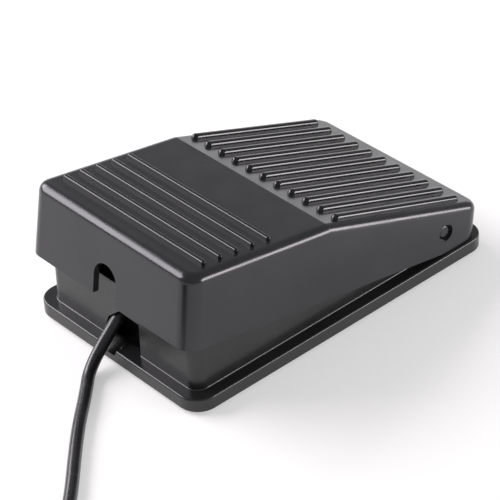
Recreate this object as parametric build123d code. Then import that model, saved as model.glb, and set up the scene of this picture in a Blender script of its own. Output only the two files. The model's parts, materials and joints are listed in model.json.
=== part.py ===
from build123d import *
import os
from math import atan2, cos, degrees, pi, radians, sin, tan

# Foot pedal switch for a sewing machine, in millimetres.
# X runs from the cord end (-X) to the hinge end (+X), Y across, Z up.
# The origin is on the floor under the middle of the base; the treadle is modelled released.

# ---------------------------------------------------------------- driving dimensions
BASE_LENGTH = 104.0
BASE_WIDTH = 65.0
FOOT_PROUD = 0.8                 # rubber feet stand out below the base
RIM_HEIGHT = 4.1
BASE_CORNER = 6.0
LEDGE_SIDE = 3.5                 # flat ledge between the rim's edge and the tray's wall
LEDGE_CORD_END = 3.4
LEDGE_HINGE_END = 5.4
WALL = 1.8
FLOOR = 2.2
UNDERSIDE_RECESS = 0.6            # shallow panel sunk into the underside, inside its edge
TRAY_WALL_TOP = 23.3
TRAY_DRAFT = 1.2                 # degrees

COVER_LENGTH = 103.1
COVER_WIDTH = 63.0
COVER_OVERHANG = 0.9             # the cover's end wall stands out past the base's cord end
COVER_TOP = 26.5
COVER_SKIRT = 5.1                # bottom of the skirt at the hinge, pressed
SKIRT_RISE = 0.8                 # the skirt's bottom is this much higher at the cord end
COVER_SKIN = 2.0
COVER_DRAFT = 2.0                # degrees, on the long sides
COVER_CORNER = 4.4
COVER_EDGE = 2.5
RIDGE_FROM_END = 46.3            # along X from the cover's end wall
FAR_SLOPE = 10.2                 # degrees, fall of the far half of the treadle
RELEASED_ANGLE = 9.4             # degrees, treadle released against its stop
PRESSED_ANGLE = 8.8              # degrees of travel down to the down stop

HINGE_FROM_END = 89.0            # along X from the base's cord end
HINGE_ABOVE_BASE = 10.5
PIN_R = 2.0

CROSS_RIBS = 5
CROSS_RIB_PITCH = 5.28
CROSS_RIB_FIRST = 38.84          # from the ridge to the rib nearest the cord end
CROSS_RIB_LENGTH = 54.6
CROSS_RIB_WIDTH = 1.25
CROSS_RIB_HEIGHT = 1.1
LONG_RIBS = 11
LONG_RIB_PITCH = 5.39
LONG_RIB_START = 4.2             # from the ridge down the far slope
LONG_RIB_END = 51.9
LONG_RIB_WIDTH = 2.4
LONG_RIB_HEIGHT = 1.3

CORD_R = 1.7
CORD_Y = 3.3

# ---------------------------------------------------------------- places worked out from them
BASE_Z = FOOT_PROUD
LEDGE_Z = BASE_Z + RIM_HEIGHT
FLOOR_Z = BASE_Z + FLOOR
CORD_END_X = -BASE_LENGTH / 2
HINGE_X = CORD_END_X + HINGE_FROM_END
HINGE_Z = BASE_Z + HINGE_ABOVE_BASE
HINGE = Location((HINGE_X, 0, HINGE_Z))
TRAY_X0 = CORD_END_X + LEDGE_CORD_END
TRAY_X1 = BASE_LENGTH / 2 - LEDGE_HINGE_END
TRAY_HALF = BASE_WIDTH / 2 - LEDGE_SIDE
COVER_X0 = CORD_END_X - COVER_OVERHANG
COVER_X1 = COVER_X0 + COVER_LENGTH
RIDGE_X = COVER_X0 + RIDGE_FROM_END
OVER = 0.3                       # how far a joined feature is sunk into what it grows from


def far_top(x):
    """Height of the treadle's outer face beyond the ridge, pressed."""
    return COVER_TOP - (x - RIDGE_X) * tan(radians(FAR_SLOPE))


def block(x0, x1, y0, y1, z0, z1):
    """Plain box between two corners."""
    middle = Pos((x0 + x1) / 2, (y0 + y1) / 2, (z0 + z1) / 2)
    return middle * Box(abs(x1 - x0), abs(y1 - y0), abs(z1 - z0))


def rod_z(x, y, z0, z1, r):
    """Upright cylinder."""
    return Pos(x, y, (z0 + z1) / 2) * Cylinder(r, z1 - z0)


def rod_y(x, z, y0, y1, r):
    """Cylinder lying along Y."""
    return Pos(x, (y0 + y1) / 2, z) * Rot(90, 0, 0) * Cylinder(r, abs(y1 - y0))


def rod_x(y, z, x0, x1, r):
    """Cylinder lying along X."""
    return Pos((x0 + x1) / 2, y, z) * Rot(0, 90, 0) * Cylinder(r, x1 - x0)


def slab_xz(points, y0, y1):
    """Prism along Y from an outline of (x, z) points."""
    outline = make_face(Plane.XZ * Polyline(*points, close=True))
    return Pos(0, y1, 0) * extrude(outline, y1 - y0, dir=(0, -1, 0))


def slab_yz(points, x0, x1):
    """Prism along X from an outline of (y, z) points."""
    outline = make_face(Plane.YZ * Polyline(*points, close=True))
    return Pos(x0, 0, 0) * extrude(outline, x1 - x0, dir=(1, 0, 0))


def turned(part, angle):
    """Turn a treadle part about the hinge; a positive angle lifts the cord end."""
    return HINGE * Rot(0, angle, 0) * HINGE.inverse() * part


def upright_edges(part):
    return part.edges().filter_by(lambda e: abs((e % 0.5).Z) > 0.9)


# ---------------------------------------------------------------- base tray
OUTLET = [(-7.3, LEDGE_Z), (-7.3, 14.7), (0.4, 14.9), (5.0, 11.0), (6.2, 8.2), (6.2, LEDGE_Z)]
OUTLET_LIP = 0.9
RAMP_HALF = 3.8
RAMP_FALL = 1.7
SPRING_X = -26.5
SPRING_Y = 19.5
SPRING_POST_TOP = 16.4
SPRING_POST_R = 3.4
PIN_BOSS_R = 4.4
CLAMP_X = -39.5
CLAMP_HALF = 7.4
CLAMP_SEAT_Z = 10.5
CLAMP_CORD_Z = 11.6
FOOT_R = 5.0
FOOT_THICK = 1.8
FOOT_X = 42.0
FOOT_Y = 22.5


def tray_block(inset, z0):
    """Drafted block with the outline of the tray's wall, inset all round."""
    length = TRAY_X1 - TRAY_X0 - 2 * inset
    width = 2 * (TRAY_HALF - inset)
    outline = RectangleRounded(length, width, 3.5 - inset / 2)
    centre = Pos((TRAY_X0 + TRAY_X1) / 2, 0, z0)
    return centre * extrude(outline, TRAY_WALL_TOP - z0 + 4, taper=TRAY_DRAFT)


def tray_top_cut():
    """Everything above the tray wall's top edge, which follows the closed treadle."""
    slope = tan(radians(FAR_SLOPE))
    hinge_side = TRAY_WALL_TOP - (HINGE_X - 3 - RIDGE_X) * slope
    far_low = hinge_side - 3.8
    points = [(CORD_END_X - 5, TRAY_WALL_TOP), (RIDGE_X, TRAY_WALL_TOP), (HINGE_X - 3, hinge_side)]
    points += [(BASE_LENGTH / 2, far_low), (BASE_LENGTH / 2, 60), (CORD_END_X - 5, 60)]
    return slab_xz(points, -40, 40)


def base_tray():
    plate = Pos(0, 0, BASE_Z) * extrude(RectangleRounded(BASE_LENGTH, BASE_WIDTH, BASE_CORNER), RIM_HEIGHT)
    plate = fillet(plate.faces().sort_by(Axis.Z)[-1].edges(), 0.5)
    plate = chamfer(plate.faces().sort_by(Axis.Z)[0].edges(), 0.4)
    underside = RectangleRounded(BASE_LENGTH - 9, BASE_WIDTH - 9, BASE_CORNER - 3)
    plate -= Pos(0, 0, BASE_Z - 1) * extrude(underside, 1 + UNDERSIDE_RECESS)
    for x, y in FOOT_PLACES:
        plate += rod_z(x, y, BASE_Z, BASE_Z + 1, FOOT_R + 1.4)
    tray = plate + tray_block(0, LEDGE_Z - OVER)
    foot_line = [e for e in tray.edges().filter_by_position(Axis.Z, LEDGE_Z - 0.01, LEDGE_Z + 0.01)
                 if abs(e.center().X) < BASE_LENGTH / 2 - 2.5 and abs(e.center().Y) < BASE_WIDTH / 2 - 2.5]
    tray = fillet(foot_line, 0.4)
    tray -= tray_block(WALL, FLOOR_Z)
    for side in (-1, 1):
        ear = rod_y(HINGE_X, HINGE_Z, side * (TRAY_HALF - 4.6), side * (TRAY_HALF - 1.0), PIN_BOSS_R)
        web = block(HINGE_X - 1, HINGE_X + 1, side * (TRAY_HALF - 4.4), side * (TRAY_HALF - 1.0),
                    FLOOR_Z - OVER, HINGE_Z)
        tray += ear + web
        tray += rod_z(SPRING_X, side * SPRING_Y, FLOOR_Z - OVER, SPRING_POST_TOP, SPRING_POST_R)
        tray += rod_z(SPRING_X, side * SPRING_Y, FLOOR_Z - OVER, FLOOR_Z + 0.6, 6.4)
    tray += block(CLAMP_X - 3, CLAMP_X + 3, CORD_Y - CLAMP_HALF - 3, CORD_Y + CLAMP_HALF + 3,
                  FLOOR_Z - OVER, CLAMP_SEAT_Z)
    for x, y in BRACKET_SCREWS:
        tray += rod_z(x, y, FLOOR_Z - OVER, BRACKET_Z, 3.0)
    tray -= tray_top_cut()
    tray -= slab_yz(OUTLET, TRAY_X0 - 1, TRAY_X0 + 3.2)
    tray -= block(TRAY_X0 + OUTLET_LIP, TRAY_X0 + 3.2, OUTLET[0][0], OUTLET[-1][0], LEDGE_Z, OUTLET[2][1])
    ramp_fall = degrees(atan2(RAMP_FALL, TRAY_X0 + 1 - CORD_END_X))
    ramp = Pos(TRAY_X0 + 1, CORD_Y - 0.9, LEDGE_Z) * Rot(0, -ramp_fall, 0) * Pos(-5, 0, 3)
    tray -= ramp * fillet(Box(10, 2 * RAMP_HALF, 6).edges().filter_by(Axis.X), 1.2)
    tray -= rod_y(HINGE_X, HINGE_Z, -40, 40, PIN_R)
    tray -= rod_x(CORD_Y, CLAMP_CORD_Z, CLAMP_X - 4, CLAMP_X + 4, CORD_R + 0.05)
    for x, y in FOOT_PLACES:
        tray -= rod_z(x, y, BASE_Z - 1, FOOT_THICK, FOOT_R + 0.15)
    for x, y in BRACKET_SCREWS:
        tray -= rod_z(x, y, BASE_Z + 1.0, BRACKET_Z + 1, 1.25)
    for side in (-1, 1):
        tray -= rod_z(CLAMP_X, CORD_Y + side * CLAMP_HALF, FLOOR_Z, CLAMP_SEAT_Z + 1, 1.25)
    return tray


FOOT_PLACES = [(sx * FOOT_X, sy * FOOT_Y) for sx in (-1, 1) for sy in (-1, 1)]


def rubber_feet():
    feet = []
    for x, y in FOOT_PLACES:
        foot = rod_z(x, y, 0, FOOT_THICK, FOOT_R)
        feet.append(fillet(foot.edges().sort_by(Axis.Z)[0], 0.4))
    return Compound(children=feet)


# ---------------------------------------------------------------- hinge pin and its clips
CLIP_GROOVE = 0.35
PIN_HALF = COVER_WIDTH / 2 - 0.75


def hinge_pin():
    pin = rod_y(HINGE_X, HINGE_Z, -PIN_HALF, PIN_HALF, PIN_R)
    pin = fillet(pin.edges().filter_by(GeomType.CIRCLE), 0.9)
    for side in (-1, 1):
        near = side * (TRAY_HALF - 5.0)
        groove = rod_y(HINGE_X, HINGE_Z, near - 0.4, near + 0.4, PIN_R + 1)
        groove -= rod_y(HINGE_X, HINGE_Z, near - 0.5, near + 0.5, PIN_R - CLIP_GROOVE)
        pin -= groove
    return pin


def pin_clips():
    clips = []
    for side in (-1, 1):
        near = side * (TRAY_HALF - 5.0)
        ring = rod_y(HINGE_X, HINGE_Z, near - 0.3, near + 0.3, 4.2)
        ring -= rod_y(HINGE_X, HINGE_Z, near - 1, near + 1, PIN_R - CLIP_GROOVE + 0.05)
        mouth = block(HINGE_X - 1.3, HINGE_X + 1.3, near - 1, near + 1, HINGE_Z, HINGE_Z + 6)
        clips.append(ring - mouth)
    return Compound(children=clips)


# ---------------------------------------------------------------- treadle cover
ARCH_Y = 0.6
ARCH_HALF = 4.35
ARCH_TOP = 16.0
PIN_RECESS_R = 2.45
PIN_RECESS = 0.7
SPRING_BOSS_X = -28.0
SPRING_BOSS_END = 16.0
SPRING_BOSS_R = 3.2
PRESS_X = 6.0


def cover_profile(inset, drop):
    """Side outline of the treadle; drop takes its bottom below the skirt for the hollow."""
    rise = tan(radians(FAR_SLOPE))
    tilt = tan(radians(RELEASED_ANGLE))
    lip_x = HINGE_X + 1
    skin = inset * COVER_SKIN / WALL
    ridge = RIDGE_X - skin * tan(radians(FAR_SLOPE / 2))
    far_z = COVER_TOP - skin - (COVER_X1 - inset - ridge) * rise
    return [(COVER_X0 + inset, COVER_SKIRT + SKIRT_RISE - drop), (COVER_X0 + inset, COVER_TOP - skin),
            (ridge, COVER_TOP - skin), (COVER_X1 - inset, far_z),
            (COVER_X1 - inset, COVER_SKIRT + (COVER_X1 - lip_x) * tilt - drop),
            (lip_x, COVER_SKIRT - drop)]


def cover_block(inset, drop):
    """Wedge-shaped block with drafted sides and rounded edges, inset by the wall."""
    lean = tan(radians(COVER_DRAFT))
    half_low = COVER_WIDTH / 2 - inset + (COVER_SKIRT + 5) * lean
    half_high = COVER_WIDTH / 2 - inset - (35 - COVER_SKIRT) * lean
    section = [(-half_low, -5), (-half_high, 35), (half_high, 35), (half_low, -5)]
    body = slab_xz(cover_profile(inset, drop), -45, 45) & slab_yz(section, -60, 60)
    body = fillet(upright_edges(body), COVER_CORNER - inset)
    top_faces = body.faces().filter_by(lambda f: f.normal_at().Z > 0.9)
    ridge_y = [e for e in top_faces.edges() if abs((e % 0.5).Y) > 0.99 and abs(e.center().X - RIDGE_X) < 1]
    rim = [e for e in top_faces.edges() if not any(e.is_same(r) for r in ridge_y)]
    return fillet(unique_edges(rim), max(COVER_EDGE - inset, 0.6))


def unique_edges(edges):
    kept = []
    for edge in edges:
        if not any(edge.is_same(k) for k in kept):
            kept.append(edge)
    return kept


def grip_bar(length, width, height, edge):
    """Raised bar with round ends, standing on the XY plane and sunk a little below it."""
    bar = Pos(0, 0, -OVER) * extrude(SlotOverall(length, width), height + OVER)
    return fillet(bar.faces().sort_by(Axis.Z)[-1].edges(), edge)


def grip_bars():
    bars = []
    for i in range(CROSS_RIBS):
        x = RIDGE_X - CROSS_RIB_FIRST + i * CROSS_RIB_PITCH
        bar = grip_bar(CROSS_RIB_LENGTH, CROSS_RIB_WIDTH, CROSS_RIB_HEIGHT, 0.42)
        bars.append(Pos(x, 0, COVER_TOP) * Rot(0, 0, 90) * bar)
    length = LONG_RIB_END - LONG_RIB_START
    along = (LONG_RIB_START + LONG_RIB_END) / 2
    for i in range(LONG_RIBS):
        y = (i - (LONG_RIBS - 1) / 2) * LONG_RIB_PITCH
        bar = grip_bar(length, LONG_RIB_WIDTH, LONG_RIB_HEIGHT, 1.12)
        bars.append(Pos(RIDGE_X, y, COVER_TOP) * Rot(0, FAR_SLOPE, 0) * Pos(along, 0, 0) * bar)
    return bars


def treadle_cover():
    cover = cover_block(0, 0) - cover_block(WALL, 8)
    for bar in grip_bars():
        cover += bar
    notch = block(COVER_X0 - 1, COVER_X0 + 4, ARCH_Y - ARCH_HALF, ARCH_Y + ARCH_HALF, 0, ARCH_TOP - ARCH_HALF)
    cover -= notch
    cover -= rod_x(ARCH_Y, ARCH_TOP - ARCH_HALF, COVER_X0 - 1, COVER_X0 + 4, ARCH_HALF)
    for side in (-1, 1):
        outer = side * COVER_WIDTH / 2
        cover -= rod_y(HINGE_X, HINGE_Z, outer - 3 * side, outer + side, PIN_R + 0.05)
        face = side * (COVER_WIDTH / 2 - (HINGE_Z - COVER_SKIRT) * tan(radians(COVER_DRAFT)))
        cover -= rod_y(HINGE_X, HINGE_Z, face - PIN_RECESS * side, face + side, PIN_RECESS_R)
        cover += rod_z(SPRING_BOSS_X, side * SPRING_Y, SPRING_BOSS_END, COVER_TOP - 1, SPRING_BOSS_R)
    press_top = far_top(PRESS_X) - 1
    presser = block(PRESS_X - 1.5, PRESS_X + 1.5, SWITCH_Y - 3.5, SWITCH_Y + 3.5, PRESS_Z, press_top)
    cover += fillet(presser.faces().sort_by(Axis.Z)[0].edges().filter_by(Axis.Y), 1.2)
    return turned(cover, RELEASED_ANGLE)


# ---------------------------------------------------------------- return springs
SPRING_COIL_R = 5.2
SPRING_WIRE_R = 0.45
SPRING_COILS = 8


def return_spring(side):
    """Compression spring leaning a little, from the tray's seat to the treadle's."""
    foot = Vector(SPRING_X, side * SPRING_Y, FLOOR_Z + 0.6 + SPRING_WIRE_R + 0.4)
    seat = turned(Pos(SPRING_BOSS_X, side * SPRING_Y, COVER_TOP - COVER_SKIN), RELEASED_ANGLE).position
    head = seat - Vector(0, 0, 1) * (SPRING_WIRE_R + 1.0)
    axis = head - foot
    length = axis.length
    path = Helix(pitch=length / SPRING_COILS, height=length, radius=SPRING_COIL_R)
    section = Plane(origin=path @ 0, z_dir=path % 0) * Circle(SPRING_WIRE_R)
    spring = sweep(section, path=path)
    return Plane(origin=foot, z_dir=axis) * spring


# ---------------------------------------------------------------- microswitch
SWITCH_X0 = -18.0
SWITCH_LENGTH = 27.8
SWITCH_Z0 = 3.2
SWITCH_HEIGHT = 15.9
SWITCH_THICK = 10.3
SWITCH_LID = 1.5
SWITCH_Y = -10.0
SWITCH_Z1 = SWITCH_Z0 + SWITCH_HEIGHT
SWITCH_X1 = SWITCH_X0 + SWITCH_LENGTH
SWITCH_Y0 = SWITCH_Y - SWITCH_THICK / 2
SWITCH_Y1 = SWITCH_Y + SWITCH_THICK / 2
SWITCH_HOLES = [(SWITCH_X0 + 2.8, SWITCH_Z0 + 13.1), (SWITCH_X1 - 2.8, SWITCH_Z0 + 2.9)]
SWITCH_HOLE_R = 1.55
PLUNGER_X = SWITCH_X0 + 8.5
PLUNGER_R = 1.6
PLUNGER_TOP = 21.0
PLUNGER_FOOT = 13.7
LEVER_X = SWITCH_X0 + 2.5
LEVER_Z = SWITCH_Z1 + 0.9
LEVER_ANGLE = 11.5               # degrees, lever's lift when the treadle is released
LEVER_LENGTH = 25.0
LEVER_SHEET = 0.45
LEVER_WIDTH = 4.4
PRESS_Z = 20.55
BLADE_X = SWITCH_X0 + 5.0
BLADE_Z = SWITCH_Z0 + 9.3
BLADE_LENGTH = 19.0
CONTACT_TRAVEL = 1.4
TAB_LENGTH = 6.3
TAB_SHEET = 0.8
TAB_WIDTH = 4.8
COM_Z = 6.4
OPEN_Z = 9.5
CLOSED_Z = 15.2
BRACKET_Z = FLOOR_Z + 2.0
BRACKET_SHEET = 1.0
BRACKET_SCREWS = [(-12.5, 0.4), (-0.5, 0.4)]


def switch_case():
    case = block(SWITCH_X0, SWITCH_X1, SWITCH_Y0, SWITCH_Y1 - SWITCH_LID, SWITCH_Z0, SWITCH_Z1)
    case = fillet(case.edges().filter_by(Axis.Y), 0.6)
    chamber = block(SWITCH_X0 + 1.4, SWITCH_X1 - 1.4, SWITCH_Y0 + 1.4, SWITCH_Y1, SWITCH_Z0 + 1.4, SWITCH_Z1 - 1.8)
    for x, z in SWITCH_HOLES:
        chamber -= rod_y(x, z, SWITCH_Y0, SWITCH_Y1 + 1, 2.6)
    case -= chamber
    for side in (-1, 1):
        y = SWITCH_Y + side * (LEVER_WIDTH / 2 + 0.8)
        ear = block(LEVER_X - 1.4, LEVER_X + 1.4, y - 0.6, y + 0.6, SWITCH_Z1 - OVER, LEVER_Z)
        case += ear + rod_y(LEVER_X, LEVER_Z, y - 0.6, y + 0.6, 1.4)
    for x, z in SWITCH_HOLES:
        case -= rod_y(x, z, SWITCH_Y0 - 1, SWITCH_Y1 + 1, SWITCH_HOLE_R)
    case -= rod_y(LEVER_X, LEVER_Z, SWITCH_Y0, SWITCH_Y1, 0.5)
    case -= rod_z(PLUNGER_X, SWITCH_Y, SWITCH_Z1 - 3, SWITCH_Z1 + 1, PLUNGER_R + 0.06)
    gap = 0.05
    case -= block(SWITCH_X0 - 1, SWITCH_X0 + 2, SWITCH_Y - TAB_WIDTH / 2 - gap, SWITCH_Y + TAB_WIDTH / 2 + gap,
                  COM_Z - gap, COM_Z + TAB_SHEET + gap)
    for z in (OPEN_Z, CLOSED_Z):
        case -= block(SWITCH_X1 - 2, SWITCH_X1 + 1, SWITCH_Y - TAB_WIDTH / 2 - gap,
                      SWITCH_Y + TAB_WIDTH / 2 + gap, z - gap, z + TAB_SHEET + gap)
    return case


def switch_lid():
    lid = block(SWITCH_X0, SWITCH_X1, SWITCH_Y1 - SWITCH_LID, SWITCH_Y1, SWITCH_Z0, SWITCH_Z1)
    lid = fillet(lid.edges().filter_by(Axis.Y), 0.6)
    for x, z in SWITCH_HOLES:
        lid -= rod_y(x, z, SWITCH_Y0 - 1, SWITCH_Y1 + 1, SWITCH_HOLE_R)
    return lid


def switch_plunger():
    stem = rod_z(PLUNGER_X, SWITCH_Y, PLUNGER_FOOT, PLUNGER_TOP, PLUNGER_R)
    return fillet(stem.edges().sort_by(Axis.Z)[-1], 0.8)


def switch_lever():
    """Spring-steel lever, drawn flat and then turned up to its released angle."""
    y = SWITCH_Y
    lever = block(LEVER_X, LEVER_X + LEVER_LENGTH, y - LEVER_WIDTH / 2, y + LEVER_WIDTH / 2,
                  LEVER_Z, LEVER_Z + LEVER_SHEET)
    for side in (-1, 1):
        inner = y + side * (LEVER_WIDTH / 2 - LEVER_SHEET)
        outer = y + side * LEVER_WIDTH / 2
        lug = block(LEVER_X - 1.1, LEVER_X + 2.4, min(inner, outer), max(inner, outer),
                    LEVER_Z - 0.6, LEVER_Z + LEVER_SHEET)
        lever += lug
    lever -= rod_y(LEVER_X, LEVER_Z, y - 5, y + 5, 0.56)
    pivot = Location((LEVER_X, 0, LEVER_Z))
    return pivot * Rot(0, -LEVER_ANGLE, 0) * pivot.inverse() * lever


def lever_pin():
    return rod_y(LEVER_X, LEVER_Z, SWITCH_Y - 4.1, SWITCH_Y + 4.1, 0.5)


def contact_blade():
    y = SWITCH_Y
    blade = block(BLADE_X, BLADE_X + BLADE_LENGTH, y - 1.8, y + 1.8, BLADE_Z - 0.15, BLADE_Z + 0.15)
    tip = BLADE_X + BLADE_LENGTH - 1.6
    blade += rod_z(tip, y, BLADE_Z - 0.75, BLADE_Z + 0.75, 1.2)
    return blade


def terminal_common():
    y0 = SWITCH_Y - TAB_WIDTH / 2
    y1 = SWITCH_Y + TAB_WIDTH / 2
    tab = block(SWITCH_X0 - TAB_LENGTH, SWITCH_X0 + 4.2, y0, y1, COM_Z, COM_Z + TAB_SHEET)
    tab += block(SWITCH_X0 + 3.4, SWITCH_X0 + 4.2, y0, y1, COM_Z, BLADE_Z - 0.9)
    tab += block(SWITCH_X0 + 3.4, SWITCH_X0 + 7.4, y0, y1, BLADE_Z - 1.3, BLADE_Z - 0.5)
    return tab - rod_z(SWITCH_X0 - 4.2, SWITCH_Y, COM_Z - 1, COM_Z + 2, 0.8)


def terminal_fixed(z, contact_from, contact_to):
    """Fixed contact with its tab through the case's far end."""
    y0 = SWITCH_Y - TAB_WIDTH / 2
    y1 = SWITCH_Y + TAB_WIDTH / 2
    tip = BLADE_X + BLADE_LENGTH - 1.6
    tab = block(tip - 1.6, SWITCH_X1 + TAB_LENGTH, y0, y1, z, z + TAB_SHEET)
    tab += rod_z(tip, SWITCH_Y, contact_from, contact_to, 1.2)
    return tab - rod_z(SWITCH_X1 + 4.2, SWITCH_Y, z - 1, z + 2, 0.8)


def switch_bracket():
    """Folded steel bracket: an upright cheek beside the switch and a foot screwed to the tray."""
    y = SWITCH_Y1 + 0.05
    cheek = block(SWITCH_X0 + 0.5, SWITCH_X1 - 0.5, y, y + BRACKET_SHEET, BRACKET_Z, SWITCH_Z1 - 0.4)
    cheek += block(3.3, SWITCH_X1 - 0.5, y, y + BRACKET_SHEET, SWITCH_Z0 + 0.2, BRACKET_Z + 1)
    foot = block(-16, 3, y, 3.6, BRACKET_Z, BRACKET_Z + BRACKET_SHEET)
    bracket = cheek + fillet(foot.edges().filter_by(Axis.Z).sort_by(Axis.Y)[-2:], 2.0)
    for x, z in SWITCH_HOLES:
        bracket -= rod_y(x, z, y - 1, y + 3, SWITCH_HOLE_R)
    for x, screw_y in BRACKET_SCREWS:
        bracket -= rod_z(x, screw_y, BRACKET_Z - 1, BRACKET_Z + 3, 1.6)
    return bracket


# ---------------------------------------------------------------- screws and nuts
def pan_screw(shank_r, length, head_r, head_h):
    """Cross-recessed screw with its head standing on the XY plane and its shank below."""
    head = Pos(0, 0, head_h / 2) * Cylinder(head_r, head_h)
    head = fillet(head.edges().sort_by(Axis.Z)[-1], head_h * 0.6)
    screw = head + Pos(0, 0, -length / 2) * Cylinder(shank_r, length)
    for angle in (0, 90):
        screw -= Pos(0, 0, head_h) * Rot(0, 0, angle) * Box(head_r * 1.1, 0.5, head_h * 1.1)
    return screw


def bracket_screws():
    places = [Pos(x, y, BRACKET_Z + BRACKET_SHEET + 0.02) for x, y in BRACKET_SCREWS]
    return Compound(children=[place * pan_screw(1.25, 4.2, 2.6, 1.6) for place in places])


def clamp_screws():
    top = CLAMP_SEAT_Z + 0.1 + CLAMP_THICK + 0.02
    places = [Pos(CLAMP_X, CORD_Y + side * CLAMP_HALF, top) for side in (-1, 1)]
    return Compound(children=[place * pan_screw(1.25, 8.0, 2.5, 1.7) for place in places])


SWITCH_SCREW_LENGTH = SWITCH_THICK + BRACKET_SHEET + 3.6


def switch_screws():
    places = [Pos(x, SWITCH_Y0 - 0.03, z) * Rot(90, 0, 0) for x, z in SWITCH_HOLES]
    return Compound(children=[place * pan_screw(1.45, SWITCH_SCREW_LENGTH, 2.7, 1.9) for place in places])


def switch_nuts():
    y = SWITCH_Y1 + 0.05 + BRACKET_SHEET + 0.05
    nuts = []
    for x, z in SWITCH_HOLES:
        nut = extrude(RegularPolygon(2.75, 6, major_radius=False), 2.4) - Cylinder(1.5, 10)
        nuts.append(Pos(x, y, z) * Rot(-90, 0, 0) * nut)
    return Compound(children=nuts)


# ---------------------------------------------------------------- cord clamp
CLAMP_THICK = 3.4


def cord_clamp():
    z0 = CLAMP_SEAT_Z + 0.1
    bar = block(CLAMP_X - 2.8, CLAMP_X + 2.8, CORD_Y - CLAMP_HALF - 2.8, CORD_Y + CLAMP_HALF + 2.8,
                z0, z0 + CLAMP_THICK)
    bar = fillet(bar.edges().filter_by(Axis.Z), 1.6)
    bar = fillet(bar.faces().sort_by(Axis.Z)[-1].edges(), 0.5)
    bar -= rod_x(CORD_Y, CLAMP_CORD_Z, CLAMP_X - 5, CLAMP_X + 5, CORD_R + 0.05)
    for side in (-1, 1):
        bar -= rod_z(CLAMP_X, CORD_Y + side * CLAMP_HALF, z0 - 1, z0 + 6, 1.5)
    return bar


# ---------------------------------------------------------------- cords and leads
def tube(points, radii, r):
    """Straight runs joined by tangent arcs, swept with a round section."""
    path = FilletPolyline(*points, radius=radii)
    section = Plane(origin=path @ 0, z_dir=path % 0) * Circle(r)
    return sweep(section, path=path), path.length


def arc_radii(points):
    """Largest comfortable arc at each corner: 0.45 of the shorter run over the half turn's tangent."""
    radii = []
    for before, here, after in zip(points, points[1:], points[2:]):
        run_in = Vector(*here) - Vector(*before)
        run_out = Vector(*after) - Vector(*here)
        half_turn = radians(run_in.get_angle(run_out) / 2)
        radii.append(0.45 * min(run_in.length, run_out.length) / tan(half_turn))
    return radii


def report_tube(name, solid, length, radii, r):
    shown = ", ".join(f"{value:.1f}" for value in radii)
    ratio = solid.volume / (pi * r * r * length)
    print(f"{name}: length {length:.1f}, volume ratio {ratio:.4f}, radii {shown}")


# free cord: from the outlet over the rim, across the floor and tangentially into the coil
CORD_EXIT = (TRAY_X0, 3.16, 9.0)
CORD_ROUTE = [
    CORD_EXIT,
    (-57.3, 2.76, CORD_R),
    (-66.2, -6.4, CORD_R),
    (-74.6, -14.2, CORD_R),
    (-83.4, -23.6, CORD_R),
    (-92.4, -33.6, CORD_R),
    (-102.8, -43.4, CORD_R),
    (-114.4, -51.6, CORD_R),
    (-127.0, -56.4, CORD_R),
    (-138.5, -57.3, CORD_R),
]
COIL_X = -142.0
COIL_Y = -34.2
COIL_TURN_OUTER = 22.8
COIL_TURN_INNER = 12.6
COIL_HEIGHT = 13.45

# tail: leaves the coil's top outer turn and comes down to the plug beside the coil
TAIL_ROUTE = [
    (COIL_X - COIL_TURN_OUTER, COIL_Y, COIL_HEIGHT - CORD_R),
    (-164.6, -25.4, 8.6),
    (-164.0, -16.4, 3.75),
    (-164.0, -7.4, 3.75),
]

# cord inside the tray: on up from the outlet and under the clamp to where its sheath ends
INNER_ROUTE = [
    CORD_EXIT,
    (-45.584, CORD_Y, CLAMP_CORD_Z),
    (-32.0, CORD_Y, CLAMP_CORD_Z),
]
LEAD_R = 0.7
CONNECTOR_X = (SWITCH_X0 - 4.5, SWITCH_X1 + 4.3)
CONNECTOR_Z = (COM_Z + TAB_SHEET / 2, OPEN_Z + TAB_SHEET / 2)
CRIMP_END_Y = SWITCH_Y + 6.5
COMMON_ROUTE = [
    (-32.0, CORD_Y - 0.75, CLAMP_CORD_Z),
    (-28.4, CORD_Y - 0.75, CLAMP_CORD_Z),
    (-24.2, 2.6, 8.6),
    (CONNECTOR_X[0], 1.2, CONNECTOR_Z[0]),
    (CONNECTOR_X[0], CRIMP_END_Y, CONNECTOR_Z[0]),
]
OPEN_ROUTE = [
    (-32.0, CORD_Y + 0.75, CLAMP_CORD_Z),
    (-28.4, CORD_Y + 0.75, CLAMP_CORD_Z),
    (-22.5, 5.8, 9.8),
    (-12.0, 7.6, 7.8),
    (3.0, 7.9, 8.4),
    (11.4, 6.2, 9.4),
    (CONNECTOR_X[1], 2.2, CONNECTOR_Z[1]),
    (CONNECTOR_X[1], CRIMP_END_Y, CONNECTOR_Z[1]),
]


def swept_cord(name, route, r):
    radii = arc_radii(route)
    solid, length = tube(route, radii, r)
    report_tube(name, solid, length, radii, r)
    return solid


def cord_coil():
    outer = COIL_TURN_OUTER + CORD_R
    inner = COIL_TURN_INNER - CORD_R
    ring = Cylinder(outer, COIL_HEIGHT) - Cylinder(inner, COIL_HEIGHT + 1)
    return Pos(COIL_X, COIL_Y, COIL_HEIGHT / 2) * ring


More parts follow.
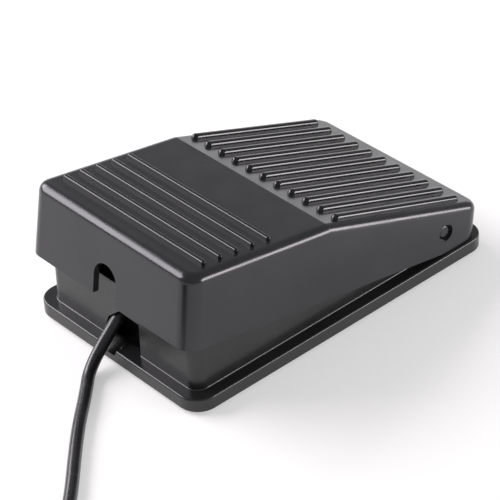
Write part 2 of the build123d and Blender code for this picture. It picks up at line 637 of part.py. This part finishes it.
def lead_connectors():
    """Push-on receptacles on two of the switch's tabs, crimped to the leads."""
    pieces = []
    slot_half = TAB_WIDTH / 2 + 0.05
    for x, z, low in zip(CONNECTOR_X, CONNECTOR_Z, (SWITCH_X0 - TAB_LENGTH - 0.4, SWITCH_X1 + 0.2)):
        shell = block(low, low + 6.5, SWITCH_Y - 3.1, SWITCH_Y + 3.1, z - 1.2, z + 1.2)
        shell = fillet(shell.edges().filter_by(Axis.X), 0.7)
        shell -= block(low - 1, low + 8, SWITCH_Y - slot_half, SWITCH_Y + slot_half,
                       z - TAB_SHEET / 2 - 0.05, z + TAB_SHEET / 2 + 0.05)
        barrel = rod_y(x, z, SWITCH_Y + 2.9, CRIMP_END_Y, 1.15)
        pieces.append(shell + barrel)
    return Compound(children=pieces)


# ---------------------------------------------------------------- plug at the cord's end
PLUG_PIN_R = 1.75
BOOT_LENGTH = 9.0
BODY_LENGTH = 15.0
BODY_R = 3.7
SLEEVE_LENGTH = 9.6
RING_LENGTH = 0.9
TIP_LENGTH = 3.5


def plug_place():
    start = Vector(*TAIL_ROUTE[-1])
    way = start - Vector(*TAIL_ROUTE[-2])
    return Plane(origin=start, z_dir=Vector(way.X, way.Y, 0))


def plug_boot():
    """Tapered strain relief with relief cuts, on the cord behind the plug's body."""
    boot = Pos(0, 0, BOOT_LENGTH / 2) * Cone(2.1, 2.9, BOOT_LENGTH)
    for i in range(3):
        ring = Pos(0, 0, 2.0 + 2.2 * i) * (Cylinder(4, 0.8) - Cylinder(1.75 + 0.18 * i, 1))
        boot -= ring
    return plug_place() * boot


def plug_body():
    body = Pos(0, 0, BOOT_LENGTH + BODY_LENGTH / 2) * Cylinder(BODY_R, BODY_LENGTH)
    body = fillet(body.edges().filter_by(GeomType.CIRCLE), 0.8)
    for i in range(4):
        z = BOOT_LENGTH + 4.0 + 2.0 * i
        body -= Pos(0, 0, z) * (Cylinder(6, 0.8) - Cylinder(BODY_R - 0.35, 1))
    return plug_place() * body


def plug_pin_part(z0, length):
    start = BOOT_LENGTH + BODY_LENGTH + z0
    return plug_place() * Pos(0, 0, start + length / 2) * Cylinder(PLUG_PIN_R, length)


def plug_insulator():
    start = BOOT_LENGTH + BODY_LENGTH + SLEEVE_LENGTH
    return plug_place() * Pos(0, 0, start + RING_LENGTH / 2) * Cylinder(PLUG_PIN_R, RING_LENGTH)


def plug_tip():
    """Tip turned with a waist behind a cone."""
    start = BOOT_LENGTH + BODY_LENGTH + SLEEVE_LENGTH + RING_LENGTH
    outline = Polyline((0, 0), (PLUG_PIN_R, 0), (1.25, 0.9), (PLUG_PIN_R, 1.9), (0.5, TIP_LENGTH),
                       (0, TIP_LENGTH), close=True)
    tip = revolve(make_face(Plane.XZ * outline), Axis.Z)
    return plug_place() * Pos(0, 0, start) * tip


# ---------------------------------------------------------------- write every part
def all_parts():
    contact_tip_low = OPEN_Z + TAB_SHEET - OVER
    return {
        "base_tray": base_tray(),
        "rubber_feet": rubber_feet(),
        "hinge_pin": hinge_pin(),
        "pin_clips": pin_clips(),
        "treadle_cover": treadle_cover(),
        "return_spring_left": return_spring(1),
        "return_spring_right": return_spring(-1),
        "switch_case": switch_case(),
        "switch_lid": switch_lid(),
        "switch_plunger": switch_plunger(),
        "switch_lever": switch_lever(),
        "lever_pin": lever_pin(),
        "contact_blade": contact_blade(),
        "terminal_common": terminal_common(),
        "terminal_open": terminal_fixed(OPEN_Z, contact_tip_low, BLADE_Z - 0.75 - CONTACT_TRAVEL),
        "terminal_closed": terminal_fixed(CLOSED_Z, BLADE_Z + 0.8, CLOSED_Z + OVER),
        "switch_bracket": switch_bracket(),
        "bracket_screws": bracket_screws(),
        "switch_screws": switch_screws(),
        "switch_nuts": switch_nuts(),
        "cord_clamp": cord_clamp(),
        "clamp_screws": clamp_screws(),
        "cord_inner": swept_cord("cord_inner", INNER_ROUTE, CORD_R),
        "lead_common": swept_cord("lead_common", COMMON_ROUTE, LEAD_R),
        "lead_open": swept_cord("lead_open", OPEN_ROUTE, LEAD_R),
        "lead_connectors": lead_connectors(),
        "cord_lead": swept_cord("cord_lead", CORD_ROUTE, CORD_R),
        "cord_coil": cord_coil(),
        "cord_tail": swept_cord("cord_tail", TAIL_ROUTE, CORD_R),
        "plug_boot": plug_boot(),
        "plug_body": plug_body(),
        "plug_sleeve": plug_pin_part(0, SLEEVE_LENGTH),
        "plug_insulator": plug_insulator(),
        "plug_tip": plug_tip(),
    }


if __name__ == "__main__":
    os.makedirs("parts", exist_ok=True)
    for name, part in all_parts().items():
        export_step(part, f"parts/{name}.step")
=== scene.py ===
import json
from math import cos, pi, radians, sin

import bmesh
import bpy
from mathutils import Matrix, Vector


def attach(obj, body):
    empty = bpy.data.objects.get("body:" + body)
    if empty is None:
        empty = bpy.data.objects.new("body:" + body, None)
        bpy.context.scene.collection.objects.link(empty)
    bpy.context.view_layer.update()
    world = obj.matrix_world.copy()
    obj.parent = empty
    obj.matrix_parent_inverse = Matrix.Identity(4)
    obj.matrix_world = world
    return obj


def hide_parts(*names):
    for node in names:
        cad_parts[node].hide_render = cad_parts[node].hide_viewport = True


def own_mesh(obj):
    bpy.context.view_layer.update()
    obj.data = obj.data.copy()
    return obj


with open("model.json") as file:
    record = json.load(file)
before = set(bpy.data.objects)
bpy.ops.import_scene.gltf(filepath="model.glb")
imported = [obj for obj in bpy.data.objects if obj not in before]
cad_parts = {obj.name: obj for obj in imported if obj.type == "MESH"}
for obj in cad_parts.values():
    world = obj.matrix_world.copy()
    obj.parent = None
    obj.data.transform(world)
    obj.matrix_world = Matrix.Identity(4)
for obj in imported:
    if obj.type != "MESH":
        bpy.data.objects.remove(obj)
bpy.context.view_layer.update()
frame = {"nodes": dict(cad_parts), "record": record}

NODES = frame["nodes"]
UP = Vector((0.0, 0.0, 1.0))


def add_object(name, data):
    thing = bpy.data.objects.new(name, data)
    bpy.context.scene.collection.objects.link(thing)
    return thing


# ---------------------------------------------------------------- camera, floor and light
CAMERA_PLACE = Vector((-0.32468, -0.38099, 0.36695))
CAMERA_TARGET = Vector((0.00587, 0.01233, 0.0))
CAMERA_ROLL = radians(-3.34)
SENSOR_WIDTH = 36.0
FOCAL_LENGTH = 167.6

WORLD_COLOUR = (0.96, 0.97, 1.0, 1.0)
WORLD_STRENGTH = 0.38
SOFTBOX_DISTANCE = 1.2
SOFTBOX_TARGET = Vector((0.0, 0.0, 0.02))
FLOOR_HALF = 6.0
FLOOR_GLOW = 0.4


def add_camera():
    data = bpy.data.cameras.new("camera")
    data.sensor_width = SENSOR_WIDTH
    data.lens = FOCAL_LENGTH
    data.clip_start = 0.01
    data.clip_end = 20.0
    camera = add_object("camera", data)
    camera.rotation_mode = "QUATERNION"
    camera.location = CAMERA_PLACE
    aim = (CAMERA_TARGET - CAMERA_PLACE).to_track_quat("-Z", "Y")
    camera.rotation_quaternion = aim @ Matrix.Rotation(CAMERA_ROLL, 3, "Z").to_quaternion()
    bpy.context.scene.camera = camera


def add_softbox(name, azimuth, elevation, size, radiance, colour):
    """Area light at a bearing from the object in degrees, turned to face it."""
    level = SOFTBOX_DISTANCE * cos(radians(elevation))
    height = SOFTBOX_DISTANCE * sin(radians(elevation))
    place = Vector((level * cos(radians(azimuth)), level * sin(radians(azimuth)), height))
    data = bpy.data.lights.new(name, "AREA")
    data.shape = "RECTANGLE"
    data.size, data.size_y = size
    data.energy = radiance * pi * size[0] * size[1]
    data.color = colour
    light = add_object(name, data)
    light.location = place
    light.rotation_mode = "QUATERNION"
    light.rotation_quaternion = (SOFTBOX_TARGET - place).to_track_quat("-Z", "Y")


def add_stage():
    world = bpy.data.worlds.new("studio")
    world.use_nodes = True
    background = world.node_tree.nodes["Background"]
    background.inputs["Color"].default_value = WORLD_COLOUR
    background.inputs["Strength"].default_value = WORLD_STRENGTH
    bpy.context.scene.world = world
    bpy.context.scene.view_settings.view_transform = "Standard"
    add_softbox("softbox_left", 116.0, 33.0, (1.25, 0.68), 8.5, (0.99, 0.95, 1.0))
    add_softbox("softbox_right", -49.0, 12.0, (0.9, 0.36), 12.0, (1.0, 0.95, 0.98))
    add_softbox("low_back", 39.0, 7.0, (1.2, 0.24), 1.15, (1.0, 0.98, 1.0))
    mesh = bpy.data.meshes.new("floor")
    corners = [(x * FLOOR_HALF, y * FLOOR_HALF, 0) for x, y in ((-1, -1), (1, -1), (1, 1), (-1, 1))]
    mesh.from_pydata(corners, [], [(0, 1, 2, 3)])
    mesh.materials.append(floor_material())
    floor = add_object("floor", mesh)


# ---------------------------------------------------------------- materials
class Nodes:
    """Short way to add and join the shader nodes of one material."""

    def __init__(self, name):
        self.material = bpy.data.materials.new(name)
        self.material.use_nodes = True
        self.tree = self.material.node_tree
        self.shader = self.tree.nodes["Principled BSDF"]

    def add(self, kind, **settings):
        """Add a node; each setting is the value of an input or a property of the node."""
        node = self.tree.nodes.new(kind)
        for key, value in settings.items():
            if key in node.inputs:
                node.inputs[key].default_value = value
            else:
                setattr(node, key, value)
        return node

    def join(self, output, socket):
        self.tree.links.new(output, socket)

    def feed(self, name, output):
        self.join(output, self.shader.inputs[name])

    def fed(self, name):
        """The output that already feeds an input of the shader."""
        return self.shader.inputs[name].links[0].from_socket

    def coords(self, scale=(1, 1, 1)):
        texture = self.add("ShaderNodeTexCoord")
        mapping = self.add("ShaderNodeMapping")
        mapping.inputs["Scale"].default_value = scale
        self.join(texture.outputs["Object"], mapping.inputs["Vector"])
        return mapping.outputs["Vector"]

    def noise(self, vector, scale, detail=3.0):
        node = self.add("ShaderNodeTexNoise", Scale=scale, Detail=detail, Roughness=0.5)
        self.join(vector, node.inputs["Vector"])
        return node.outputs["Fac"]

    def spread(self, value, low, high, start=0.3, end=0.7):
        """Stretch the range start to end of a value over low to high."""
        node = self.add("ShaderNodeMapRange")
        node.inputs["From Min"].default_value = start
        node.inputs["From Max"].default_value = end
        node.inputs["To Min"].default_value = low
        node.inputs["To Max"].default_value = high
        self.join(value, node.inputs["Value"])
        return node.outputs["Result"]

    def mix_colour(self, factor, first, second):
        node = self.add("ShaderNodeMix", data_type="RGBA")
        self.join(factor, node.inputs["Factor"])
        for name, colour in (("A", first), ("B", second)):
            if isinstance(colour, tuple):
                node.inputs[name].default_value = (*colour, 1.0)
            else:
                self.join(colour, node.inputs[name])
        return node.outputs["Result"]

    def math(self, operation, *values):
        """Maths node on outputs and plain numbers."""
        node = self.add("ShaderNodeMath", operation=operation)
        for socket, value in zip(node.inputs, values):
            if isinstance(value, float):
                socket.default_value = value
            else:
                self.join(value, socket)
        return node.outputs["Value"]

    def bump(self, height, strength, distance, before=None):
        node = self.add("ShaderNodeBump", Strength=strength, Distance=distance)
        self.join(height, node.inputs["Height"])
        if before is not None:
            self.join(before, node.inputs["Normal"])
        return node.outputs["Normal"]


def floor_material():
    m = Nodes("floor_paper")
    m.shader.inputs["Roughness"].default_value = 0.9
    m.shader.inputs["Specular IOR Level"].default_value = 0.1
    m.shader.inputs["Emission Color"].default_value = (1.0, 1.0, 1.0, 1.0)
    m.shader.inputs["Emission Strength"].default_value = FLOOR_GLOW
    m.feed("Base Color", m.mix_colour(m.noise(m.coords(), 3.0), (0.61, 0.60, 0.59), (0.63, 0.62, 0.61)))
    return m.material


def moulded(name, dark, light, rough=(0.28, 0.36), grain=2600.0, grain_depth=0.00001):
    """Nodes of moulded plastic: cloudy colour, handled sheen, faint scuffs, grain and sink marks."""
    m = Nodes(name)
    where = m.coords()
    m.feed("Base Color", m.mix_colour(m.spread(m.noise(where, 60.0, 4.0), 0, 1), dark, light))
    scuffs = m.spread(m.noise(m.coords((70.0, 900.0, 900.0)), 1.0, 4.0), 0.0, 0.02, 0.58, 0.72)
    handled = m.spread(m.noise(where, 140.0, 5.0), *rough)
    m.feed("Roughness", m.math("ADD", handled, scuffs))
    fine = m.bump(m.noise(where, grain, 2.0), 0.25, grain_depth)
    m.feed("Normal", m.bump(m.noise(where, 38.0, 1.0), 0.12, 0.0004, fine))
    return m


def moulded_plastic(name, *looks):
    return moulded(name, *looks).material


# The ridge of the treadle at rest, and how far its two top planes fall towards the hinge, in degrees.
RIDGE = Vector((-0.00353, 0.0, 0.03342))
TOP_SLOPES = (9.4, 19.6)
RIB_STARTS = 0.00012
RIB_FULL = 0.0003
# Painted shade: the ribs get a darker colour than the planes to stand in for the dark reflections on them.
RIB_SHADE_COLOUR = (0.004, 0.004, 0.0045)
RIB_POLISH = 0.12


def rib_mask(m):
    """0 on the treadle's two top planes and below them, 1 on a rib that stands above them."""
    cover = NODES["treadle_cover"].matrix_world
    heights = []
    for slope in TOP_SLOPES:
        normal = Vector((sin(radians(slope)), 0.0, cos(radians(slope))))
        along = m.add("ShaderNodeVectorMath", operation="DOT_PRODUCT")
        m.join(m.coords(), along.inputs[0])
        along.inputs[1].default_value = cover.to_3x3().transposed() @ normal
        heights.append(m.math("SUBTRACT", along.outputs["Value"], normal.dot(RIDGE - cover.translation)))
    return m.spread(m.math("MAXIMUM", *heights), 0.0, 1.0, RIB_STARTS, RIB_FULL)


def ribbed_plastic(name, *looks):
    """Moulded plastic whose ribs are polished and painted darker than the grained planes between them:
    painted shade standing in for the dark reflections on the ribs.
    """
    m = moulded(name, *looks)
    mask = rib_mask(m)
    m.feed("Base Color", m.mix_colour(mask, m.fed("Base Color"), RIB_SHADE_COLOUR))
    m.feed("Roughness", m.math("MULTIPLY_ADD", mask, -RIB_POLISH, m.fed("Roughness")))
    return m.material


def brushed_metal(name, dark, light, rough=(0.25, 0.42), along=(1, 1, 1)):
    m = Nodes(name)
    m.shader.inputs["Metallic"].default_value = 1.0
    lines = m.noise(m.coords(along), 1500.0, 2.0)
    m.feed("Base Color", m.mix_colour(m.spread(lines, 0, 1), dark, light))
    m.feed("Roughness", m.spread(m.noise(m.coords(), 400.0, 4.0), *rough))
    m.feed("Normal", m.bump(lines, 0.2, 0.00001))
    return m.material


def soft_plastic(name, dark, light, cloud, rough, rough_scale, grain, grain_strength):
    """Soft vinyl or rubber: cloudy colour, uneven sheen and a fine grain."""
    m = Nodes(name)
    where = m.coords()
    m.feed("Base Color", m.mix_colour(m.spread(m.noise(where, cloud), 0, 1), dark, light))
    m.feed("Roughness", m.spread(m.noise(where, rough_scale), *rough))
    m.feed("Normal", m.bump(m.noise(where, grain, 2.0), grain_strength, 0.00002))
    return m.material


def slot(make, name, *looks, **more):
    return name, make(name, *looks, **more)


MATERIALS = dict([
    slot(moulded_plastic, "base_plastic", (0.011, 0.011, 0.0115), (0.016, 0.016, 0.0165), (0.22, 0.3)),
    slot(ribbed_plastic, "cover_plastic", (0.011, 0.011, 0.013), (0.017, 0.017, 0.0195), (0.18, 0.26),
         1700.0, 0.00002),
    slot(soft_plastic, "foot_rubber", (0.015, 0.015, 0.015), (0.03, 0.03, 0.029), 300.0,
         (0.65, 0.85), 800.0, 2000.0, 0.4),
    slot(moulded_plastic, "pin_black", (0.010, 0.010, 0.011), (0.016, 0.016, 0.017), (0.25, 0.35)),
    slot(brushed_metal, "pin_steel", (0.42, 0.42, 0.43), (0.6, 0.6, 0.61)),
    slot(brushed_metal, "spring_steel", (0.32, 0.32, 0.34), (0.5, 0.5, 0.52)),
    slot(moulded_plastic, "switch_body", (0.018, 0.018, 0.02), (0.03, 0.03, 0.034), (0.45, 0.6)),
    slot(moulded_plastic, "plunger_plastic", (0.45, 0.03, 0.02), (0.55, 0.045, 0.03), (0.35, 0.45)),
    slot(brushed_metal, "lever_steel", (0.55, 0.55, 0.54), (0.72, 0.72, 0.7), along=(0.05, 1, 1)),
    slot(brushed_metal, "contact_brass", (0.6, 0.42, 0.16), (0.78, 0.58, 0.27), along=(0.05, 1, 1)),
    slot(brushed_metal, "zinc_steel", (0.5, 0.52, 0.53), (0.68, 0.69, 0.68)),
    slot(soft_plastic, "cord_sheath", (0.012, 0.012, 0.013), (0.02, 0.02, 0.022), 220.0,
         (0.2, 0.3), 500.0, 900.0, 0.2),
    slot(moulded_plastic, "lead_red", (0.4, 0.02, 0.015), (0.5, 0.03, 0.02), (0.4, 0.5)),
    slot(moulded_plastic, "lead_black", (0.012, 0.012, 0.012), (0.02, 0.02, 0.02), (0.4, 0.5)),
    slot(moulded_plastic, "plug_plastic", (0.014, 0.014, 0.015), (0.022, 0.022, 0.023), (0.4, 0.52)),
    slot(brushed_metal, "plug_metal", (0.62, 0.61, 0.58), (0.78, 0.77, 0.74), (0.12, 0.25)),
    slot(moulded_plastic, "insulator", (0.02, 0.02, 0.02), (0.03, 0.03, 0.03), (0.4, 0.5)),
])


def dress_nodes():
    """Give each CAD node the finished material of its slot."""
    for part in frame["record"]["subparts"]:
        node = NODES[part["node"]]
        node.data.materials.clear()
        node.data.materials.append(MATERIALS[part["material_slot"]])


# ---------------------------------------------------------------- mesh pieces
def finished_piece(name, form, smooth=False):
    """Turn a bmesh into an object in the scene, its faces pointing outwards."""
    bmesh.ops.recalc_face_normals(form, faces=form.faces)
    for face in form.faces:
        face.smooth = smooth
    mesh = bpy.data.meshes.new(name)
    form.to_mesh(mesh)
    form.free()
    return add_object(name, mesh)


def add_tube(form, rings):
    """Join each ring of points to the next one with faces."""
    for here, following in zip(rings, rings[1:]):
        count = len(here)
        for k in range(count):
            form.faces.new((here[k], here[(k + 1) % count], following[(k + 1) % count], following[k]))


# ---------------------------------------------------------------- cord
CORD_R = 0.0017
LAYER_RISE = 0.00335
LEAD_ROUTE = [
    (-0.0486, 0.00316, 0.0090),
    (-0.0573, 0.00276, CORD_R),
    (-0.0662, -0.0064, CORD_R),
    (-0.0746, -0.0142, CORD_R),
    (-0.0834, -0.0236, CORD_R),
    (-0.0924, -0.0336, CORD_R),
    (-0.1028, -0.0434, CORD_R),
    (-0.1144, -0.0516, CORD_R),
    (-0.1270, -0.0564, CORD_R),
    (-0.1370, -0.0573, CORD_R),
]
TAIL_ROUTE = [
    (-0.1646, -0.0254, 0.0086),
    (-0.1640, -0.0164, 0.00375),
    (-0.1640, -0.0074, 0.00375),
]
COIL_CENTRE = (-0.1420, -0.0342)
COIL_OUTER = 0.0228
COIL_INNER = 0.0126
COIL_TURNS = 13.25
LAST_LAYER = 3
LAYER_TURNS = 3.0
CLIMB_TURNS = 0.5
TOP_LAYER_TURNS = 2.75
STEPS_PER_TURN = 16

TIE_BEARING = radians(40.0)
TIE_LOW = 0.0008
TIE_HIGH = 0.0136
TIE_CORNER_R = 0.0016
TIE_HALF_WIDTH = 0.0018
TIE_THICKNESS = 0.0006
TIE_INNER_GAP = 0.0002
TIE_OUTER_GAP = 0.0001
TIE_CORNER_STEPS = 6
TIE_HEAD = (0.0026, 0.0050, 0.0046)
TIE_HEAD_BEVEL = 0.0005
TIE_HEAD_OUT = 0.0011
TIE_HEAD_HEIGHT = 0.0072


def ramp(value, start, end, low, high):
    share = min(max((value - start) / (end - start), 0.0), 1.0)
    return low + (high - low) * share


def coil_route():
    """Four layers of about three turns, in and out by turns, with half a turn to climb between them."""
    # A curve of order 3 runs inside its control points by this share of their radius.
    share = 0.75 + 0.25 * cos(2 * pi / STEPS_PER_TURN)
    layer_pitch = LAYER_TURNS + CLIMB_TURNS
    points = []
    for step in range(1, int(COIL_TURNS * STEPS_PER_TURN) + 1):
        turn = step / STEPS_PER_TURN
        layer = min(int(turn / layer_pitch), LAST_LAYER)
        along = turn - layer_pitch * layer
        first, last = (COIL_OUTER, COIL_INNER) if layer % 2 == 0 else (COIL_INNER, COIL_OUTER)
        winding = LAYER_TURNS if layer < LAST_LAYER else TOP_LAYER_TURNS
        radius = ramp(along, 0.0, winding, first, last) / share
        height = CORD_R + LAYER_RISE * (layer + ramp(along, LAYER_TURNS, layer_pitch, 0.0, 1.0))
        angle = -pi / 2 - 2 * pi * turn
        points.append((COIL_CENTRE[0] + radius * cos(angle), COIL_CENTRE[1] + radius * sin(angle), height))
    return points


def spline_curve(name, points, radius):
    curve = bpy.data.curves.new(name, "CURVE")
    curve.dimensions = "3D"
    spline = curve.splines.new("NURBS")
    spline.points.add(len(points) - 1)
    for point, place in zip(spline.points, points):
        point.co = (*place, 1.0)
    spline.order_u = 3
    spline.use_endpoint_u = True
    spline.resolution_u = 10
    curve.bevel_depth = radius
    curve.bevel_resolution = 6
    curve.use_fill_caps = True
    return add_object(name, curve)


def tie_band(centre, away, across, near, far):
    """Flat closed band round the bundle, a rounded rectangle seen along the turns."""
    corners = [
        (far - TIE_CORNER_R, TIE_LOW + TIE_CORNER_R, -90),
        (far - TIE_CORNER_R, TIE_HIGH - TIE_CORNER_R, 0),
        (near + TIE_CORNER_R, TIE_HIGH - TIE_CORNER_R, 90),
        (near + TIE_CORNER_R, TIE_LOW + TIE_CORNER_R, 180),
    ]
    form = bmesh.new()
    rings = []
    for radius, height, start in corners:
        for step in range(TIE_CORNER_STEPS + 1):
            angle = radians(start + 90 * step / TIE_CORNER_STEPS)
            out = away * cos(angle) + UP * sin(angle)
            place = centre + away * radius + UP * height + out * TIE_CORNER_R
            ring = []
            for lift, side in ((0, -1), (0, 1), (1, 1), (1, -1)):
                corner = place + out * (TIE_THICKNESS * lift) + across * (TIE_HALF_WIDTH * side)
                ring.append(form.verts.new(corner))
            rings.append(ring)
    add_tube(form, rings + rings[:1])
    return finished_piece("cord_tie", form)


def tie_head(centre, away, far):
    form = bmesh.new()
    bmesh.ops.create_cube(form, size=1.0)
    place = centre + away * (far + TIE_HEAD_OUT) + UP * TIE_HEAD_HEIGHT
    size = Matrix.Diagonal((*TIE_HEAD, 1.0))
    form.transform(Matrix.Translation(place) @ Matrix.Rotation(TIE_BEARING, 4, "Z") @ size)
    bmesh.ops.bevel(form, geom=form.edges[:], offset=TIE_HEAD_BEVEL, segments=2, affect="EDGES")
    return finished_piece("cord_tie_head", form)


def add_cord_tie():
    """Releasable tie round the coil's bundle, with its head on the outside of the turns."""
    near = COIL_INNER - CORD_R - TIE_INNER_GAP
    far = COIL_OUTER + CORD_R + TIE_OUTER_GAP
    away = Vector((cos(TIE_BEARING), sin(TIE_BEARING), 0.0))
    across = Vector((-sin(TIE_BEARING), cos(TIE_BEARING), 0.0))
    centre = Vector((*COIL_CENTRE, 0.0))
    pieces = [tie_band(centre, away, across, near, far), tie_head(centre, away, far)]
    for piece in pieces:
        piece.data.materials.append(MATERIALS["plug_plastic"])
        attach(piece, "base")
    return pieces


def add_cord():
    route = LEAD_ROUTE + coil_route() + TAIL_ROUTE
    cord = spline_curve("cord", route, CORD_R)
    cord.data.materials.append(MATERIALS["cord_sheath"])
    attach(cord, "base")
    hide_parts("cord_lead", "cord_coil", "cord_tail")
    on_the_cord = ["plug_boot", "plug_body", "plug_sleeve", "plug_insulator", "plug_tip"]
    [NODES[name] for name in on_the_cord] + add_cord_tie()


# ---------------------------------------------------------------- return springs
SPRING_AXIS_X = -0.02645
SPRING_AXIS_Y = 0.0195
SPRING_LOW = 0.00450
SPRING_HIGH = 0.03345
SPRING_R = 0.0052
WIRE_R = 0.00045
WIRE_SIDES = 10
SPRING_TURNS = 8.5
SPRING_STEPS_PER_TURN = 28
CLOSED_RISE = 2.2 * WIRE_R


def spring_height(turn):
    """Height of the wire's middle line; the first and last turns lie closed on their seats."""
    if turn < 1:
        return SPRING_LOW + CLOSED_RISE * turn
    if turn > SPRING_TURNS - 1:
        return SPRING_HIGH - CLOSED_RISE * (SPRING_TURNS - turn)
    share = (turn - 1) / (SPRING_TURNS - 2)
    return SPRING_LOW + CLOSED_RISE + share * (SPRING_HIGH - SPRING_LOW - 2 * CLOSED_RISE)


def add_spring(name, side, node):
    """Wound wire spring standing on its seat in the base."""
    form = bmesh.new()
    steps = int(SPRING_TURNS * SPRING_STEPS_PER_TURN)
    rings = []
    for step in range(steps + 1):
        turn = SPRING_TURNS * step / steps
        angle = 2 * pi * turn * side
        out = Vector((cos(angle), sin(angle), 0.0))
        place = Vector((SPRING_AXIS_X, SPRING_AXIS_Y * side, spring_height(turn))) + out * SPRING_R
        ring = []
        for k in range(WIRE_SIDES):
            round_wire = 2 * pi * k / WIRE_SIDES
            ring.append(form.verts.new(place + (out * cos(round_wire) + UP * sin(round_wire)) * WIRE_R))
        rings.append(ring)
    add_tube(form, rings)
    form.faces.new(rings[0])
    form.faces.new(rings[-1])
    spring = finished_piece(name, form, smooth=True)
    spring.data.materials.append(MATERIALS["spring_steel"])
    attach(spring, "base")
    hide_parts(node)
    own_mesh(spring)


add_camera()
add_stage()
dress_nodes()
add_cord()
add_spring("spring_left", 1, "return_spring_left")
add_spring("spring_right", -1, "return_spring_right")
